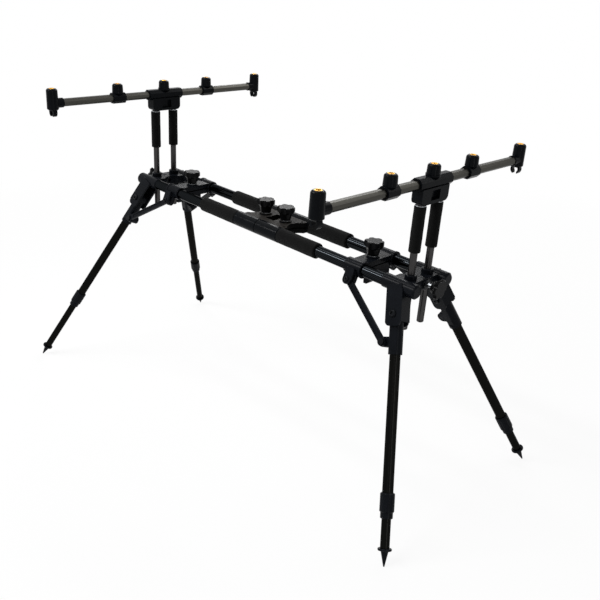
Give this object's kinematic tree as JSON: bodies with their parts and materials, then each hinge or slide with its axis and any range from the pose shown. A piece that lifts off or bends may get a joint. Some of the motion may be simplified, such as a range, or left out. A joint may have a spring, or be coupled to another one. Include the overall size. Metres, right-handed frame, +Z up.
{
  "type": "rod pod",
  "caption": "Fishing rod pod: two telescoping rails on folding, telescoping spiked legs, with a height-adjustable cross bar of threaded rod-rest bosses at each end.",
  "frame": {"origin": "middle of the box round the pod, on the ground that the four spikes stand on", "axes": "+Z up from the ground, +X to the front along the rails, +Y across to the right as seen from the front"},
  "size_m": [1.1259, 0.572, 0.6945],
  "materials": {
    "rail_tube": "anodised dark graphite, finely ribbed",
    "leg_tube": "anodised dark grey",
    "upright": "anodised black",
    "bar": "anodised gunmetal grey",
    "casting": "satin black moulding",
    "arm": "black coated flat bar",
    "knob": "black moulding on a steel stud",
    "collar": "satin black",
    "spike": "satin black",
    "foam": "matt closed-cell foam",
    "brass": "turned, bright",
    "steel": "plated"
  },
  "bodies": {
    "cores": {"rail_cores": "rail_tube"},
    "front_half": {"front_hub": "casting", "front_rails": "rail_tube", "front_rail_grips": "foam", "front_end_block": "casting", "front_leg_bolts": "steel"},
    "front_hub_knob": {"front_hub_knob": "knob"},
    "front_block_knob": {"front_block_knob": "knob"},
    "front_slider": {"front_slider": "casting"},
    "front_slider_knob": {"front_slider_knob": "knob"},
    "front_left_leg": {"front_left_leg_head": "casting", "front_left_leg_tube": "leg_tube"},
    "front_left_collar": {"front_left_collar": "collar"},
    "front_left_foot": {"front_left_inner_leg": "leg_tube", "front_left_spike": "spike"},
    "front_left_arm": {"front_left_arm": "arm"},
    "front_right_leg": {"front_right_leg_head": "casting", "front_right_leg_tube": "leg_tube"},
    "front_right_collar": {"front_right_collar": "collar"},
    "front_right_foot": {"front_right_inner_leg": "leg_tube", "front_right_spike": "spike"},
    "front_right_arm": {"front_right_arm": "arm"},
    "front_bar": {"front_uprights": "upright", "front_upright_grips": "foam", "front_tee": "casting", "front_bar": "bar", "front_bar_ends": "casting", "front_inserts": "brass"},
    "front_left_rest": {"front_left_rest": "casting"},
    "front_right_rest": {"front_right_rest": "casting"},
    "rear_half": {"rear_hub": "casting", "rear_rails": "rail_tube", "rear_rail_grips": "foam", "rear_end_block": "casting", "rear_leg_bolts": "steel"},
    "rear_hub_knob": {"rear_hub_knob": "knob"},
    "rear_block_knob": {"rear_block_knob": "knob"},
    "rear_slider": {"rear_slider": "casting"},
    "rear_slider_knob": {"rear_slider_knob": "knob"},
    "rear_left_leg": {"rear_left_leg_head": "casting", "rear_left_leg_tube": "leg_tube"},
    "rear_left_collar": {"rear_left_collar": "collar"},
    "rear_left_foot": {"rear_left_inner_leg": "leg_tube", "rear_left_spike": "spike"},
    "rear_left_arm": {"rear_left_arm": "arm"},
    "rear_right_leg": {"rear_right_leg_head": "casting", "rear_right_leg_tube": "leg_tube"},
    "rear_right_collar": {"rear_right_collar": "collar"},
    "rear_right_foot": {"rear_right_inner_leg": "leg_tube", "rear_right_spike": "spike"},
    "rear_right_arm": {"rear_right_arm": "arm"},
    "rear_bar": {"rear_uprights": "upright", "rear_upright_grips": "foam", "rear_tee": "casting", "rear_bar": "bar", "rear_bar_ends": "casting", "rear_inserts": "brass"},
    "rear_left_rest": {"rear_left_rest": "casting"},
    "rear_right_rest": {"rear_right_rest": "casting"}
  },
  "joints": [
    {"name": "front_rails_draw", "type": "slide", "parent": "cores", "child": "front_half", "axis": [0.9974, 0, -0.0714], "range_m": [0, 0.12]},
    {"name": "front_hub_knob_turn", "type": "hinge", "parent": "front_half", "child": "front_hub_knob", "pos_m": [0.08923, 0, 0.4493], "axis": [0.0714, 0, 0.9974], "continuous": true},
    {"name": "front_block_knob_turn", "type": "hinge", "parent": "front_half", "child": "front_block_knob", "pos_m": [0.44624, 0, 0.4087], "axis": [0.9974, 0, -0.0714], "continuous": true},
    {"name": "front_slider_slide", "type": "slide", "parent": "front_half", "child": "front_slider", "axis": [-0.9974, 0, 0.0714], "range_m": [0, 0.06968]},
    {"name": "front_slider_knob_turn", "type": "hinge", "parent": "front_slider", "child": "front_slider_knob", "pos_m": [0.32256, 0, 0.43159], "axis": [0.0714, 0, 0.9974], "continuous": true},
    {"name": "front_left_leg_fold", "type": "hinge", "parent": "front_half", "child": "front_left_leg", "pos_m": [0.43517, -0.06434, 0.36694], "axis": [-0.0291, 0.9135, -0.4057], "range_deg": [0, 111.2]},
    {"name": "front_left_arm_swing", "type": "hinge", "parent": "front_left_leg", "child": "front_left_arm", "pos_m": [0.43087, -0.08542, 0.31977], "axis": [-0.0291, 0.9135, -0.4057], "range_deg": [-143.5, 0]},
    {"name": "front_left_collar_twist", "type": "hinge", "parent": "front_left_leg", "child": "front_left_collar", "pos_m": [0.53112, -0.18569, 0.08682], "axis": [-0.2999, 0.3792, 0.8754], "range_deg": [0, 180]},
    {"name": "front_left_leg_draw", "type": "slide", "parent": "front_left_leg", "child": "front_left_foot", "axis": [-0.2999, 0.3792, 0.8754], "range_m": [-0.16, 0.046]},
    {"name": "front_right_leg_fold", "type": "hinge", "parent": "front_half", "child": "front_right_leg", "pos_m": [0.43517, 0.06434, 0.36694], "axis": [0.0291, 0.9135, 0.4057], "range_deg": [0, 111.2]},
    {"name": "front_right_arm_swing", "type": "hinge", "parent": "front_right_leg", "child": "front_right_arm", "pos_m": [0.43087, 0.08542, 0.31977], "axis": [0.0291, 0.9135, 0.4057], "range_deg": [-143.5, 0]},
    {"name": "front_right_collar_twist", "type": "hinge", "parent": "front_right_leg", "child": "front_right_collar", "pos_m": [0.53112, 0.18569, 0.08682], "axis": [-0.2999, -0.3792, 0.8754], "range_deg": [0, 180]},
    {"name": "front_right_leg_draw", "type": "slide", "parent": "front_right_leg", "child": "front_right_foot", "axis": [-0.2999, -0.3792, 0.8754], "range_m": [-0.16, 0.046]},
    {"name": "front_bar_height", "type": "slide", "parent": "front_half", "child": "front_bar", "axis": [0.0714, 0, 0.9974], "range_m": [-0.04, 0.058]},
    {"name": "front_left_rest_slide", "type": "slide", "parent": "front_bar", "child": "front_left_rest", "axis": [0, -1, 0], "range_m": [-0.053, 0.123]},
    {"name": "front_right_rest_slide", "type": "slide", "parent": "front_bar", "child": "front_right_rest", "axis": [0, 1, 0], "range_m": [-0.053, 0.123]},
    {"name": "rear_rails_draw", "type": "slide", "parent": "cores", "child": "rear_half", "axis": [-0.9974, 0, 0.0714], "range_m": [0, 0.12]},
    {"name": "rear_hub_knob_turn", "type": "hinge", "parent": "rear_half", "child": "rear_hub_knob", "pos_m": [0.02938, 0, 0.45359], "axis": [0.0714, 0, 0.9974], "continuous": true},
    {"name": "rear_block_knob_turn", "type": "hinge", "parent": "rear_half", "child": "rear_block_knob", "pos_m": [-0.34973, 0, 0.4657], "axis": [-0.9974, 0, 0.0714], "continuous": true},
    {"name": "rear_slider_slide", "type": "slide", "parent": "rear_half", "child": "rear_slider", "axis": [0.9974, 0, -0.0714], "range_m": [0, 0.06968]},
    {"name": "rear_slider_knob_turn", "type": "hinge", "parent": "rear_slider", "child": "rear_slider_knob", "pos_m": [-0.22404, 0, 0.47073], "axis": [0.0714, 0, 0.9974], "continuous": true},
    {"name": "rear_left_leg_fold", "type": "hinge", "parent": "rear_half", "child": "rear_left_leg", "pos_m": [-0.34472, -0.06434, 0.42279], "axis": [0.0291, -0.9135, 0.4057], "range_deg": [0, 111.2]},
    {"name": "rear_left_arm_swing", "type": "hinge", "parent": "rear_left_leg", "child": "rear_left_arm", "pos_m": [-0.34719, -0.08542, 0.37549], "axis": [0.0291, -0.9135, 0.4057], "range_deg": [-143.5, 0]},
    {"name": "rear_left_collar_twist", "type": "hinge", "parent": "rear_left_leg", "child": "rear_left_collar", "pos_m": [-0.47961, -0.18569, 0.15921], "axis": [0.4215, 0.3792, 0.8237], "range_deg": [0, 180]},
    {"name": "rear_left_leg_draw", "type": "slide", "parent": "rear_left_leg", "child": "rear_left_foot", "axis": [0.4215, 0.3792, 0.8237], "range_m": [-0.066, 0.14]},
    {"name": "rear_right_leg_fold", "type": "hinge", "parent": "rear_half", "child": "rear_right_leg", "pos_m": [-0.34472, 0.06434, 0.42279], "axis": [-0.0291, -0.9135, -0.4057], "range_deg": [0, 111.2]},
    {"name": "rear_right_arm_swing", "type": "hinge", "parent": "rear_right_leg", "child": "rear_right_arm", "pos_m": [-0.34719, 0.08542, 0.37549], "axis": [-0.0291, -0.9135, -0.4057], "range_deg": [-143.5, 0]},
    {"name": "rear_right_collar_twist", "type": "hinge", "parent": "rear_right_leg", "child": "rear_right_collar", "pos_m": [-0.47961, 0.18569, 0.15921], "axis": [0.4215, -0.3792, 0.8237], "range_deg": [0, 180]},
    {"name": "rear_right_leg_draw", "type": "slide", "parent": "rear_right_leg", "child": "rear_right_foot", "axis": [0.4215, -0.3792, 0.8237], "range_m": [-0.066, 0.14]},
    {"name": "rear_bar_height", "type": "slide", "parent": "rear_half", "child": "rear_bar", "axis": [0.0714, 0, 0.9974], "range_m": [-0.06, 0.038]},
    {"name": "rear_left_rest_slide", "type": "slide", "parent": "rear_bar", "child": "rear_left_rest", "axis": [0, -1, 0], "range_m": [-0.061, 0.115]},
    {"name": "rear_right_rest_slide", "type": "slide", "parent": "rear_bar", "child": "rear_right_rest", "axis": [0, 1, 0], "range_m": [-0.061, 0.115]}
  ],
  "couplings": [
    {"joint": "front_left_arm_swing", "follows": "front_left_leg_fold", "ratio": -1.2895},
    {"joint": "front_right_arm_swing", "follows": "front_left_leg_fold", "ratio": -1.2895},
    {"joint": "front_right_leg_fold", "follows": "front_left_leg_fold", "ratio": 1},
    {"joint": "front_slider_slide", "follows": "front_left_leg_fold", "m_per_rad": 0.035849},
    {"joint": "rear_left_arm_swing", "follows": "rear_left_leg_fold", "ratio": -1.2895},
    {"joint": "rear_right_arm_swing", "follows": "rear_left_leg_fold", "ratio": -1.2895},
    {"joint": "rear_right_leg_fold", "follows": "rear_left_leg_fold", "ratio": 1},
    {"joint": "rear_slider_slide", "follows": "rear_left_leg_fold", "m_per_rad": 0.035849}
  ]
}
